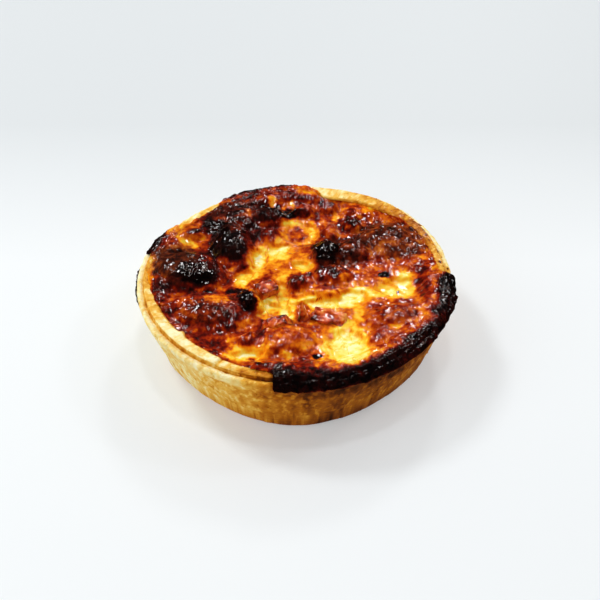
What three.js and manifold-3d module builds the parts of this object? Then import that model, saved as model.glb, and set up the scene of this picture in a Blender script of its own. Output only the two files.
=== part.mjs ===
// A small round quiche: a shortcrust case with a stepped rim, a baked custard filling whose browned
// skin has risen in lumps between pools of soft custard, charred skirts where the filling boiled over
// the rim, and four pieces of ham standing out of the custard.
//
// Millimetres, +Z up. The origin is the centre of the flat base, and -Y is the front.
// Angles run anticlockwise from +X, seen from above, in degrees.

import * as THREE from "three";
import { mergeVertices } from "three/addons/utils/BufferGeometryUtils.js";
import { ImprovedNoise } from "three/addons/math/ImprovedNoise.js";
import Module from "manifold-3d";

const wasm = await Module();
wasm.setup();
const noise = new ImprovedNoise();

// ---------------------------------------------------------------- driving dimensions

const rimRadius = 60; // outside of the case's lip
const baseRadius = 52.6; // where the wall would meet the table
const rimHeight = 28; // top of the inner ridge
const lipDrop = 1.7; // the outer lip lies this much below the ridge
const ridgeWidth = 3.6; // flat top of the inner ridge
const lipWidth = 2.6; // from the groove out to the lip's edge
const wallThickness = 5;
const floorThickness = 4.5;
const footRound = 2.4; // rounding where the wall meets the base
const gap = 0.35; // between pieces that touch
const caseSegments = 72; // round the case

const custardLevel = 25; // the filling's surface between lumps and pools
const poolDepth = 1.5; // how far the custard pools lie below it
const ridgeInner = rimRadius - lipWidth - ridgeWidth;

// The case has sagged out of round. Each entry bends the outline inwards (or outwards, if negative)
// by `rim` at the top and `base` at the foot, over about `width` degrees each side of `at`.
const sags = [
  { at: 137, width: 18, rim: 2.5, base: 1.2 },
  { at: 112, width: 15, rim: 1, base: 0 },
  { at: 52, width: 20, rim: -1.7, base: -0.4 },
  { at: 6, width: 16, rim: 0.8, base: 0 },
  { at: -46, width: 22, rim: 0, base: 1.1 },
  { at: -132, width: 22, rim: 0, base: 1.2 },
  { at: -90, width: 20, rim: 0, base: -1.9 },
];

// Lumps of the browned skin: centre, half widths along and across a turned axis, height, and how
// steep the flanks are (1 is a soft swell, 3 a steep knob).
const lumps = {
  leftDome: { x: -41, y: 1, rx: 16, ry: 12, turn: -12, rise: 6.6, steep: 1.5 },
  noseHump: { x: -24.5, y: 18, rx: 8.5, ry: 15, turn: 14, rise: 6.4, steep: 1.5 },
  backMass: { x: -25, y: 36, rx: 14, ry: 9, turn: 22, rise: 4, steep: 1.3 },
  backRidgeLeft: { x: -11, y: 37, rx: 9, ry: 6.5, turn: -8, rise: 4.6, steep: 1.5 },
  backRidgeRight: { x: 3, y: 41, rx: 6.5, ry: 5, turn: 0, rise: 4, steep: 1.4 },
  leftRimSwell: { x: -42, y: 25, rx: 9, ry: 4, turn: 32, rise: 2.6, steep: 1.2 },
  frontLeftMound: { x: -31, y: -21, rx: 18, ry: 10.5, turn: -14, rise: 4.8, steep: 1.5 },
  frontLeftKnob: { x: -16.5, y: -17, rx: 4.8, ry: 6, turn: 18, rise: 6, steep: 1.5 },
  rightHump: { x: 37, y: 21, rx: 15, ry: 13, turn: -20, rise: 4.8, steep: 1.4 },
  charredLump: { x: 12.5, y: 12.5, rx: 6.5, ry: 7, turn: 0, rise: 5.8, steep: 1.5 },
  middleRidge: { x: 23.5, y: 15, rx: 9, ry: 8, turn: -15, rise: 4.4, steep: 1.3 },
  centreRidge: { x: 14, y: 0, rx: 8, ry: 6, turn: -12, rise: 4, steep: 1.5 },
  centreBead: { x: 1, y: -6.3, rx: 4.4, ry: 4, turn: 0, rise: 3.8, steep: 1.5 },
  shingle: { x: 10.5, y: -10.3, rx: 8, ry: 3.4, turn: -7, rise: 2, steep: 1.4 },
  frontMound: { x: -3.5, y: -36, rx: 12, ry: 9.5, turn: 10, rise: 3.4, steep: 1.3 },
  rightFrontMound: { x: 37.5, y: -24, rx: 13.5, ry: 8, turn: 6, rise: 4, steep: 1.5 },
  rightFrontToe: { x: 31, y: -34.5, rx: 7.5, ry: 5, turn: 20, rise: 3, steep: 1.4 },
  frontLeftToe: { x: -16.5, y: -36.5, rx: 4.8, ry: 4.6, turn: 0, rise: 2.6, steep: 1.3 },
  backKnob: { x: 23, y: 31.5, rx: 4.6, ry: 4.4, turn: 0, rise: 4.2, steep: 1.5 },
  backRightFold: { x: 13.5, y: 44, rx: 5, ry: 4.5, turn: 0, rise: 3, steep: 1.3 },
  backRightSwell: { x: 26, y: 41, rx: 8, ry: 5.5, turn: -25, rise: 2.4, steep: 1.1 },
  innerFold: { x: 14, y: 28, rx: 3.6, ry: 6, turn: 0, rise: 2.8, steep: 1.3 },
  islandCrust: { x: 2, y: 26.5, rx: 5, ry: 5, turn: 0, rise: 1.6, steep: 1.2 },
  innerFlank: { x: -10.5, y: 25, rx: 5, ry: 6, turn: 0, rise: 2.6, steep: 1.2 },
  rightEdgeSwell: { x: 46, y: 8, rx: 7, ry: 7, turn: 0, rise: 2, steep: 1.2 },
};

// Pools of custard that no skin covers: centre and half widths along and across a turned axis.
const pools = {
  leftChannelFoot: { x: -20, y: 0.5, rx: 5.5, ry: 3.6, turn: 35 },
  leftChannel: { x: -14, y: 10, rx: 3.6, ry: 8.5, turn: -8 },
  leftChannelHead: { x: -6, y: 16.5, rx: 7.5, ry: 4.5, turn: 10 },
  ringPool: { x: 2.5, y: 27, rx: 8.5, ry: 9.5, turn: 0 },
  centrePool: { x: 3, y: 6, rx: 4.6, ry: 3.6, turn: -25 },
  amberColumn: { x: -4.5, y: -11, rx: 3.2, ry: 9, turn: 5 },
  crossPoolLeft: { x: -7, y: -19, rx: 7.5, ry: 3.8, turn: -28 },
  crossPool: { x: 8, y: -16, rx: 10, ry: 3, turn: 6 },
  crossPoolRight: { x: 20.5, y: -13, rx: 7.5, ry: 6, turn: 25 },
  rightPool: { x: 39, y: -7.5, rx: 10, ry: 4.2, turn: 0 },
  frontPool: { x: 18, y: -38.5, rx: 8.5, ry: 10, turn: 12 },
  frontLeftPool: { x: -17, y: -43.2, rx: 6.5, ry: 2.8, turn: 5 },
};

// Skirts of charred filling that ran over the rim: the angles they span, how far down the outside
// they reach at each end, and how thick they are.
const skirts = {
  frontSkirt: { from: -97.5, to: -2.5, dropFrom: 1.4, dropTo: 2.6, thick: 0.9 },
  backSkirt: { from: 92.5, to: 122.5, dropFrom: 1.6, dropTo: 1.6, thick: 0.8 },
  leftSkirt: { from: 152.5, to: 167.5, dropFrom: 2, dropTo: 2.4, thick: 0.7 },
  leftDrip: { from: 177.5, to: 192.5, dropFrom: 1.6, dropTo: 2.6, thick: 0.5 },
};

// Pieces of ham: size of the block, where its middle is, its turn about Z and its lean, in degrees.
const hamPieces = {
  ham_cube: { size: [8.6, 7, 6.4], at: [-11.2, -9.6, 25.3], turn: 38, lean: [10, 6] },
  ham_spike: { size: [4.6, 4.2, 10], at: [2.6, -24, 26], turn: 15, lean: [-12, 4], taper: 0.72 },
  ham_strip: { size: [14.5, 6, 3.4], at: [12.8, -24.5, 25.6], turn: -14, lean: [24, -5] },
  ham_crest: { size: [11, 7.4, 7], at: [-7, -29.4, 26.6], turn: 18, lean: [16, -8], taper: 0.3 },
};

// ---------------------------------------------------------------- small helpers

const radians = THREE.MathUtils.degToRad;

// The angle from b to a, between -180 and 180 degrees.
function angleBetween(a, b) {
  return THREE.MathUtils.euclideanModulo(a - b + 180, 360) - 180;
}

// 1 at the middle of a turned ellipse, 0 at its edge and beyond.
function insideEllipse(x, y, e) {
  const c = Math.cos(radians(e.turn));
  const s = Math.sin(radians(e.turn));
  const along = ((x - e.x) * c + (y - e.y) * s) / e.rx;
  const across = (-(x - e.x) * s + (y - e.y) * c) / e.ry;
  return Math.max(0, 1 - along * along - across * across);
}

// How far the outline is bent inwards at an angle, at the top (share 1) or the foot (share 0).
function sagAt(degrees, share) {
  let sum = 0;
  for (const s of sags) {
    const t = angleBetween(degrees, s.at) / s.width;
    sum += Math.exp(-t * t) * THREE.MathUtils.lerp(s.base, s.rim, share);
  }
  return sum;
}

// Moves a vertex from the true round form to the sagged one.
function sagged(v) {
  const degrees = THREE.MathUtils.radToDeg(Math.atan2(v.y, v.x));
  const share = THREE.MathUtils.clamp(v.z / rimHeight, 0, 1);
  const k = 1 - sagAt(degrees, share) / rimRadius;
  v.x *= k;
  v.y *= k;
  return v;
}

// Height of the filling's surface at a point.
function surfaceHeight(x, y) {
  let rise = 0;
  for (const l of Object.values(lumps)) {
    const swell = l.rise * Math.pow(1 - Math.pow(1 - insideEllipse(x, y, l), l.steep), 1.2);
    rise = Math.cbrt(rise ** 3 + swell ** 3);
  }
  let sink = 0;
  for (const p of Object.values(pools)) {
    sink = Math.max(sink, Math.min(1, 2 * insideEllipse(x, y, p)));
  }
  const crag = noise.noise(x / 4.2, y / 4.2, 3.7) * 0.7 + noise.noise(x / 9, y / 9, 8.1) * 0.6;
  const skin = 1 - sink * 0.85;
  return custardLevel + rise * (1 - 0.6 * sink) + crag * skin - poolDepth * sink;
}

// Radius of the case's outer wall at a height.
function wallRadius(z) {
  return THREE.MathUtils.lerp(baseRadius, rimRadius - 0.7, z / (rimHeight - 5));
}

// ---------------------------------------------------------------- solids

// A geometry from a flat list of coordinates and a list of vertex numbers.
function indexed(positions, index) {
  const geometry = new THREE.BufferGeometry();
  geometry.setAttribute("position", new THREE.Float32BufferAttribute(positions, 3));
  geometry.setIndex(index);
  return geometry;
}

// Turns a three.js geometry into a manifold-3d solid.
function solidOf(geometry) {
  const bare = geometry.clone();
  for (const name of Object.keys(bare.attributes)) {
    if (name !== "position") bare.deleteAttribute(name);
  }
  const merged = mergeVertices(bare, 1e-4);
  const kept = [];
  const index = merged.index.array;
  for (let i = 0; i < index.length; i += 3) {
    const [a, b, c] = [index[i], index[i + 1], index[i + 2]];
    if (a !== b && b !== c && c !== a) kept.push(a, b, c);
  }
  const vertProperties = new Float32Array(merged.attributes.position.array);
  const mesh = new wasm.Mesh({ numProp: 3, vertProperties, triVerts: new Uint32Array(kept) });
  return new wasm.Manifold(mesh);
}

// Turns a manifold-3d solid back into a geometry.
function geometryOf(solid) {
  const mesh = solid.getMesh();
  const geometry = new THREE.BufferGeometry();
  geometry.setAttribute("position", new THREE.BufferAttribute(mesh.vertProperties, 3));
  geometry.setIndex(new THREE.BufferAttribute(mesh.triVerts, 1));
  geometry.computeVertexNormals();
  return geometry;
}

// Calls change(v) on each vertex of a geometry.
function reshape(geometry, change) {
  const position = geometry.attributes.position;
  const v = new THREE.Vector3();
  for (let i = 0; i < position.count; i++) {
    v.fromBufferAttribute(position, i);
    change(v);
    position.setXYZ(i, v.x, v.y, v.z);
  }
  position.needsUpdate = true;
  return geometry;
}

// A body turned about Z from [radius, height] points that start and end on the axis.
function turned(points, segments) {
  const profile = points.map(([r, z]) => new THREE.Vector2(r, z));
  return new THREE.LatheGeometry(profile, segments, Math.PI / segments).rotateX(Math.PI / 2);
}

// The case's outside from the foot to the groove behind the lip, as [radius, height] points.
function outsideProfile() {
  const lipTop = rimHeight - lipDrop;
  const points = [[baseRadius - footRound, 0]];
  const steps = 3;
  for (let i = 1; i <= steps; i++) {
    const a = (i / steps) * (Math.PI / 2);
    const z = footRound * (1 - Math.cos(a));
    points.push([wallRadius(z) - footRound * (1 - Math.sin(a)), z]);
  }
  for (const z of [8, 15, rimHeight - 7]) points.push([wallRadius(z), z]);
  points.push([rimRadius - 0.2, lipTop - 2.4], [rimRadius, lipTop - 1], [rimRadius - 0.5, lipTop - 0.2]);
  points.push([rimRadius - 1.2, lipTop], [rimRadius - lipWidth + 0.3, lipTop - 0.4]);
  return points;
}

// The small waves that crimping and baking left in the case, and in whatever clings to it.
function crimped(v) {
  const r = Math.hypot(v.x, v.y);
  const outside = THREE.MathUtils.smoothstep(r - wallRadius(Math.min(v.z, rimHeight - 5)), -2, -0.5);
  const k = 1 + (outside * 0.4 * noise.noise(v.x / 6, v.y / 6, v.z / 5)) / Math.max(r, 1);
  v.z += THREE.MathUtils.smoothstep(v.z, 19, 26) * 0.5 * noise.noise(v.x / 7, v.y / 7, 1.3);
  v.x *= k;
  v.y *= k;
  return v;
}

function pastryCase() {
  const ridgeOuter = rimRadius - lipWidth;
  const innerFloor = baseRadius - wallThickness;
  const points = [[0, 0], ...outsideProfile()];
  points.push([ridgeOuter, rimHeight - 0.7], [ridgeOuter - 0.7, rimHeight]);
  points.push([ridgeInner + 0.6, rimHeight], [ridgeInner, rimHeight - 0.7]);
  points.push([ridgeInner - 0.7, rimHeight - 4], [innerFloor, floorThickness], [0, floorThickness]);
  return reshape(turned(points, caseSegments), (v) => {
    if (Math.hypot(v.x, v.y) > ridgeInner - 0.1 || v.z < floorThickness) crimped(v);
    sagged(v);
  });
}

// Maps a square of half width 1 to a disc of radius 1, so that a square grid becomes rings.
function squareToDisc(x, y) {
  const r = Math.max(Math.abs(x), Math.abs(y));
  if (r === 0) return [0, 0];
  const a = Math.abs(x) >= Math.abs(y) ? (Math.PI / 4) * (y / x) : Math.PI / 2 - (Math.PI / 4) * (x / y);
  const side = Math.abs(x) >= Math.abs(y) ? Math.sign(x) : Math.sign(y);
  return [side * r * Math.cos(a), side * r * Math.sin(a)];
}

// The filling down to the case's floor, with the lumps and pools on its top.
function custard() {
  const rings = 22;
  const n = 2 * rings;
  const brim = ridgeInner - 0.4 - gap;
  const foot = baseRadius - wallThickness - gap - 0.4;
  const top = new THREE.PlaneGeometry(2, 2, n, n);
  const positions = [];
  for (let i = 0; i < top.attributes.position.count; i++) {
    const [u, v] = [top.attributes.position.getX(i), top.attributes.position.getY(i)];
    const edge = Math.max(Math.abs(u), Math.abs(v));
    const [x, y] = squareToDisc(u, v);
    const p = sagged(new THREE.Vector3(x * brim, y * brim, rimHeight - 2));
    const height = surfaceHeight(p.x, p.y);
    const meniscus = THREE.MathUtils.smoothstep(edge, 0.9, 1);
    positions.push(p.x, p.y, THREE.MathUtils.lerp(height, Math.max(height, custardLevel + 0.9), meniscus));
  }
  const rim = [];
  const at = (column, row) => row * (n + 1) + column;
  for (let i = 0; i < n; i++) rim.push(at(0, i));
  for (let i = 0; i < n; i++) rim.push(at(i, n));
  for (let i = 0; i < n; i++) rim.push(at(n, n - i));
  for (let i = 0; i < n; i++) rim.push(at(n - i, 0));
  const firstLow = positions.length / 3;
  for (const i of rim) {
    const [u, v] = [top.attributes.position.getX(i), top.attributes.position.getY(i)];
    const [x, y] = squareToDisc(u, v);
    positions.push(...sagged(new THREE.Vector3(x * foot, y * foot, floorThickness + gap)).toArray());
  }
  const middle = positions.length / 3;
  positions.push(0, 0, floorThickness + gap);
  const index = Array.from(top.index.array);
  for (let i = 0; i < rim.length; i++) {
    const next = (i + 1) % rim.length;
    index.push(rim[i], firstLow + i, rim[next], rim[next], firstLow + i, firstLow + next);
    index.push(firstLow + i, middle, firstLow + next);
  }
  return indexed(positions, index);
}

// The way a skirt takes over the case, from inside the filling to its lower edge on the wall: points
// [radius, height], and for each the direction in which the skirt is thick.
function skirtPath(bottom) {
  const clear = gap + 0.1;
  const ridgeOuter = rimRadius - lipWidth;
  const lipTop = rimHeight - lipDrop;
  const path = [
    [ridgeInner - 6, custardLevel - 2, 0, 2.2],
    [ridgeInner - 3, custardLevel - 2, 0, 4.2],
    [ridgeInner - 1.4, custardLevel - 1, 0, 4.4],
    [ridgeInner - clear, rimHeight - 0.4, -0.6, 1.4],
    [ridgeInner + 0.5, rimHeight + clear, -0.4, 1],
    [ridgeOuter - 0.4, rimHeight + clear, 0.3, 1],
    [ridgeOuter + clear, rimHeight - 0.5, 0.6, 0.8],
    [rimRadius - 0.7, lipTop + clear, 0.5, 0.8],
    [rimRadius + clear, lipTop - 0.8, 0.9, 0.3],
  ];
  for (const share of [0.33, 0.67, 1]) {
    const z = THREE.MathUtils.lerp(lipTop - 0.8, bottom, share);
    const bulge = 0.7 * THREE.MathUtils.smoothstep(z, rimHeight - 7, rimHeight - 4); // the lip
    path.push([wallRadius(Math.min(z, rimHeight - 5)) + bulge + clear, z, 1 - share * 0.6, 0]);
  }
  return path;
}

// A skirt of filling over the rim.
function skirt(s) {
  const steps = Math.round((s.to - s.from) / (360 / caseSegments));
  const positions = [];
  let count = 0;
  for (let i = 0; i <= steps; i++) {
    const degrees = s.from + (i * 360) / caseSegments;
    const drop = THREE.MathUtils.lerp(s.dropFrom, s.dropTo, i / steps);
    const ragged = 1.2 * noise.noise(degrees / 6, 0.5, 2.2);
    const end = i === 0 || i === steps ? 0.6 : 1;
    const thick = s.thick * end * (1 + 0.4 * noise.noise(degrees / 5, 4.4, 0.3));
    const path = skirtPath(rimHeight - lipDrop - 0.8 - drop - ragged);
    const over = path.map(([r, z, dr, dz]) => [r + dr * thick, z + dz * thick]);
    const section = [...path, ...over.reverse()];
    count = section.length;
    for (const [r, z] of section) {
      const v = new THREE.Vector3(r * Math.cos(radians(degrees)), r * Math.sin(radians(degrees)), z);
      positions.push(...sagged(crimped(v)).toArray());
    }
  }
  const index = [];
  for (let i = 0; i < steps; i++) {
    for (let j = 0; j < count; j++) {
      const a = i * count + j;
      const b = i * count + ((j + 1) % count);
      index.push(a, a + count, b, b, a + count, b + count);
    }
  }
  const last = steps * count;
  for (let j = 0; j < count / 2 - 1; j++) {
    const k = count - 1 - j;
    index.push(j, j + 1, k, j + 1, k - 1, k);
    index.push(last + j, last + k, last + j + 1, last + j + 1, last + k, last + k - 1);
  }
  return indexed(positions, index);
}

// A cut block of ham with soft edges, narrowed towards its top by `taper`, and grown by `grow` all round.
function hamBlock({ size, at, turn, lean, taper = 0.1 }, grow = 0) {
  const [w, d, h] = size.map((side) => side / 2);
  const geometry = new THREE.BoxGeometry(2, 2, 2, 5, 5, 5);
  reshape(geometry, (v) => {
    const round = new THREE.Vector3().copy(v).normalize().multiplyScalar(1.22);
    v.lerp(round, 0.5); // a cube halfway to a ball
    const narrow = 1 - (taper * (v.z + 1)) / 2;
    const rough = 1 + 0.12 * noise.noise(v.x * 1.7 + at[0], v.y * 1.7 + at[1], v.z * 1.7);
    v.set(v.x * narrow * rough * (w + grow), v.y * narrow * rough * (d + grow), v.z * rough * (h + grow));
  });
  const pose = new THREE.Matrix4().makeRotationFromEuler(
    new THREE.Euler(radians(lean[0]), radians(lean[1]), radians(turn), "ZYX"),
  );
  return geometry.applyMatrix4(pose).translate(...at);
}

function filling() {
  let solid = solidOf(custard());
  for (const s of Object.values(skirts)) solid = solid.add(solidOf(skirt(s)));
  for (const h of Object.values(hamPieces)) solid = solid.subtract(solidOf(hamBlock(h, 1.3 * gap)));
  const bodies = solid.decompose().sort((a, b) => b.volume() - a.volume());
  return geometryOf(bodies[0]);
}

// ---------------------------------------------------------------- the quiche

const shortcrust = new THREE.MeshStandardMaterial({ color: 0xdca04c, roughness: 0.75, metalness: 0 });
const brownedCustard = new THREE.MeshStandardMaterial({ color: 0x9a4a18, roughness: 0.35, metalness: 0 });
const ham = new THREE.MeshStandardMaterial({ color: 0xb5603c, roughness: 0.4, metalness: 0 });

function named(name, geometry, material) {
  const mesh = new THREE.Mesh(geometry, material);
  mesh.name = name;
  return mesh;
}

const quiche = new THREE.Group();
quiche.add(named("pastry_case", pastryCase(), shortcrust));
quiche.add(named("filling", filling(), brownedCustard));
for (const [name, piece] of Object.entries(hamPieces)) quiche.add(named(name, hamBlock(piece), ham));

export default quiche;
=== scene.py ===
import itertools
import math

import bpy
import numpy as np
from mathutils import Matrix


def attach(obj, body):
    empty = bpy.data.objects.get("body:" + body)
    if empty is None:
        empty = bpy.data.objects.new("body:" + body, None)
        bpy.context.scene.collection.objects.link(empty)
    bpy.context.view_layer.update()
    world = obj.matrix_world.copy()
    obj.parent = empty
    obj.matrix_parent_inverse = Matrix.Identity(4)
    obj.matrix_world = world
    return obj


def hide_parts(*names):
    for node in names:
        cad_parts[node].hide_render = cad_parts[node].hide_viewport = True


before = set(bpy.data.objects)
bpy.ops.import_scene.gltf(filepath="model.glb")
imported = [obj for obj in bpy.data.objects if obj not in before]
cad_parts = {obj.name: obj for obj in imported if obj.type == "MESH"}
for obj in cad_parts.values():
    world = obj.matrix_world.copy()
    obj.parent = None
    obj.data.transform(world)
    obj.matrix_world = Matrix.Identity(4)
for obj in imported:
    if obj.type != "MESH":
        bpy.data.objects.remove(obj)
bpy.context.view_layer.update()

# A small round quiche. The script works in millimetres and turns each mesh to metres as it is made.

mm = 0.001


def linear(hexColour):  # sRGB hex to linear RGBA
    parts = [int(hexColour[i:i + 2], 16) / 255 for i in (1, 3, 5)]
    return [c / 12.92 if c <= 0.04045 else ((c + 0.055) / 1.055) ** 2.4 for c in parts] + [1.0]


def smooth(low, high, value):
    t = np.clip((value - low) / (high - low), 0, 1)
    return t * t * (3 - 2 * t)


def mix(a, b, share):
    return a + (b - a) * share


def hashed(cell, seed):  # a whole number from 0 to 65535 for each cell of a grid
    h = cell[..., 0] * 374761393 + cell[..., 1] * 668265263 + cell[..., 2] * 1274126177 + seed * 974634777
    h = h & 0xFFFFFFFF
    h = ((h ^ (h >> 13)) * 1274126177) & 0xFFFFFFFF
    return (h ^ (h >> 16)) & 0xFFFF


directions = np.random.default_rng(5).normal(size=(256, 3))
directions /= np.linalg.norm(directions, axis=1)[:, None]
offsets = np.random.default_rng(6).random((65536, 3))


def waves(points, size, seed):  # gradient noise, about -1 to 1, with waves of that size in mm
    p = points / size
    cell = np.floor(p).astype(np.int64)
    f = p - cell
    u = f * f * f * (f * (f * 6 - 15) + 10)
    total = np.zeros(len(p))
    for corner in itertools.product((0, 1), repeat=3):
        c = np.array(corner)
        toward = np.einsum("ij,ij->i", directions[hashed(cell + c, seed) & 255], f - c)
        total += toward * np.prod(np.where(c, u, 1 - u), axis=1)
    return total * 1.6


def rough(points, size, octaves, seed):  # several waves, each about half as big and strong as the last
    total, strength = np.zeros(len(points)), 1.0
    for octave in range(octaves):
        total += strength * waves(points, size, seed + octave * 17)
        size, strength = size * 0.49, strength * 0.55
    return total


def cells(points, size, seed):  # distances to the nearest and the second nearest scattered point
    p = points / size
    cell = np.floor(p).astype(np.int64)
    near = np.full(len(p), 9.0)
    second = np.full(len(p), 9.0)
    for step in itertools.product((-1, 0, 1), repeat=3):
        other = cell + np.array(step)
        d = np.linalg.norm(other + offsets[hashed(other, seed)] - p, axis=1)
        second = np.minimum(second, np.maximum(near, d))
        near = np.minimum(near, d)
    return near, second


def flat(x, y, z=0.0):  # points at one height
    return np.stack([x, y, np.full_like(x, z)], axis=1)


def insideOval(x, y, oval):  # 1 in the middle of a turned oval, 0 at its edge and outside
    cx, cy, rx, ry, turn = oval[:5]
    c, s = math.cos(math.radians(turn)), math.sin(math.radians(turn))
    along = ((x - cx) * c + (y - cy) * s) / rx
    across = ((y - cy) * c - (x - cx) * s) / ry
    return np.clip(1 - along * along - across * across, 0, 1)


def addNode(tree, kind, settings=None, **links):
    # an input goes by its name, with _ for a space, or by i and its number
    # a node given as a value stands for its first output
    node = tree.nodes.new(kind)
    for name, value in (settings or {}).items():
        setattr(node, name, value)
    for name, value in links.items():
        numbered = name[0] == "i" and name[1:].isdigit()
        socket = node.inputs[int(name[1:]) if numbered else name.replace("_", " ")]
        if isinstance(value, bpy.types.Node):
            value = value.outputs[0]
        if isinstance(value, bpy.types.NodeSocket):
            tree.links.new(value, socket)
        else:
            socket.default_value = value
    return node


def newMaterial(name):
    material = bpy.data.materials.new(name)
    material.use_nodes = True
    material.node_tree.nodes.clear()
    return material, material.node_tree


def setStops(ramp, stops):  # stops are (place, hex colour)
    while len(ramp.elements) < len(stops):
        ramp.elements.new(0.5)
    for element, (place, colour) in zip(ramp.elements, stops):
        element.position = place
        element.color = linear(colour)


def gridFaces(rows, columns, closed):  # quads of a grid whose rows run round (closed) or not
    i, j = np.meshgrid(np.arange(rows - 1), np.arange(columns if closed else columns - 1), indexing="ij")
    a, b = i * columns + j, i * columns + (j + 1) % columns
    return np.stack([a, b, b + columns, a + columns], axis=-1).reshape(-1, 4)


def gridEdge(rows, columns):  # the points round the outside of an open grid, in order
    index = np.arange(rows * columns).reshape(rows, columns)
    return np.concatenate([index[0, :-1], index[:-1, -1], index[-1, :0:-1], index[:0:-1, 0]])


def loopFaces(upper, lower):  # quads from one closed loop of points to another
    return np.stack([upper, lower, np.roll(lower, -1), np.roll(upper, -1)], axis=1)


def addPiece(name, points, faces, material, nodes, values, sharp=0):
    mesh = bpy.data.meshes.new(name)
    mesh.from_pydata((points * mm).tolist(), [], [f if isinstance(f, list) else f.tolist() for f in faces])
    for key, numbers in values.items():
        attribute = mesh.attributes.new(key, "FLOAT", "POINT")
        attribute.data.foreach_set("value", numbers.astype(np.float32))
    # the last faces, as many as sharp says, are shaded flat
    mesh.polygons.foreach_set("use_smooth", np.arange(len(faces)) < len(faces) - sharp)
    mesh.materials.append(material)
    mesh.validate()
    register(name, mesh, nodes)


def register(name, mesh, nodes):
    piece = bpy.data.objects.new(name, mesh)
    bpy.context.collection.objects.link(piece)
    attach(piece, "root")
    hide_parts(*nodes)


studio = {
    "aim": (1.6, 0.0, 13.0),  # mm
    "distance": 350.3,  # mm
    "elevation": 40.45,  # degrees above the table
    "lens": 54.0,
    "floor": "#bcc2c6",
    "glow": (0.34, 0.17),  # light from under the board, by the quiche and far behind it
    "glowFades": (0.04, 0.16),  # metres behind the middle, from here to there
    "world": 0.48,
    # name, place and width in metres, watts, colour, whether it lights matt things and shows in wet ones
    "lamps": [
        ("key", (-0.75, 0.60, 1.10), 0.27, 7.8, "#ffffff", True, True),
        ("glint", (0.30, 1.10, 0.85), 0.18, 3.2, "#ffffff", True, True),
        ("rightGlint", (1.00, 0.45, 0.95), 0.14, 1.7, "#ffffff", True, True),
        ("left", (-1.20, -0.60, 0.65), 0.90, 5.3, "#ffffff", True, False),
        ("fill", (0.85, 0.75, 1.05), 0.80, 2.2, "#ffffff", True, False),
        ("topGlint", (0.05, 0.12, 1.35), 0.15, 2.2, "#ffffff", True, True),
        ("sheen", (0.15, 0.55, 1.25), 0.36, 2.6, "#ffdfd2", False, True),
        ("frontGlint", (0.06, -0.14, 1.35), 0.16, 2.4, "#ffffff", False, True),
    ],
}


def makeStudio():
    elevation = math.radians(studio["elevation"])
    x, y, z = studio["aim"]
    camera = bpy.data.objects.new("camera", bpy.data.cameras.new("camera"))
    camera.data.lens = studio["lens"]
    camera.data.sensor_width = 36
    camera.data.clip_start = 0.01
    away = studio["distance"]
    camera.location = (x * mm, (y - away * math.cos(elevation)) * mm, (z + away * math.sin(elevation)) * mm)
    camera.rotation_euler = (math.pi / 2 - elevation, 0, 0)
    bpy.context.collection.objects.link(camera)
    bpy.context.scene.camera = camera

    for name, place, size, power, colour, matt, glossy in studio["lamps"]:
        lamp = bpy.data.objects.new(name, bpy.data.lights.new(name, "AREA"))
        lamp.data.size = size
        lamp.data.energy = power
        lamp.data.color = linear(colour)[:3]
        lamp.location = place
        lamp.visible_diffuse = matt
        lamp.visible_glossy = glossy
        lamp.rotation_euler = (-lamp.location).to_track_quat("-Z", "Y").to_euler()
        bpy.context.collection.objects.link(lamp)

    world = bpy.data.worlds.new("studio")
    world.use_nodes = True
    world.node_tree.nodes["Background"].inputs["Color"].default_value = linear("#f7f5f0")
    world.node_tree.nodes["Background"].inputs["Strength"].default_value = studio["world"]
    world.cycles_visibility.glossy = False
    bpy.context.scene.world = world
    bpy.context.scene.view_settings.view_transform = "Standard"

    material, tree = newMaterial("light_table")  # matt pale board, lit from below, less so far behind
    place = addNode(tree, "ShaderNodeTexCoord").outputs["Object"]
    behind = addNode(tree, "ShaderNodeSeparateXYZ", Vector=place).outputs["Y"]
    begin, end = studio["glowFades"]
    near, far = studio["glow"]
    glow = addNode(tree, "ShaderNodeMapRange", Value=behind, i1=begin, i2=end, i3=near, i4=far)
    shader = addNode(tree, "ShaderNodeBsdfPrincipled", Base_Color=linear(studio["floor"]), Roughness=0.6,
                     Emission_Color=linear("#ffffff"), Emission_Strength=glow)
    addNode(tree, "ShaderNodeOutputMaterial", Surface=shader)
    bpy.ops.mesh.primitive_plane_add(size=6)
    floor = bpy.context.object
    floor.name = "floor"
    floor.data.materials.append(material)
    floor.visible_glossy = False  # oil shows only the lamps, as it does in a dim kitchen


makeStudio()
print("studio ready")


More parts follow.
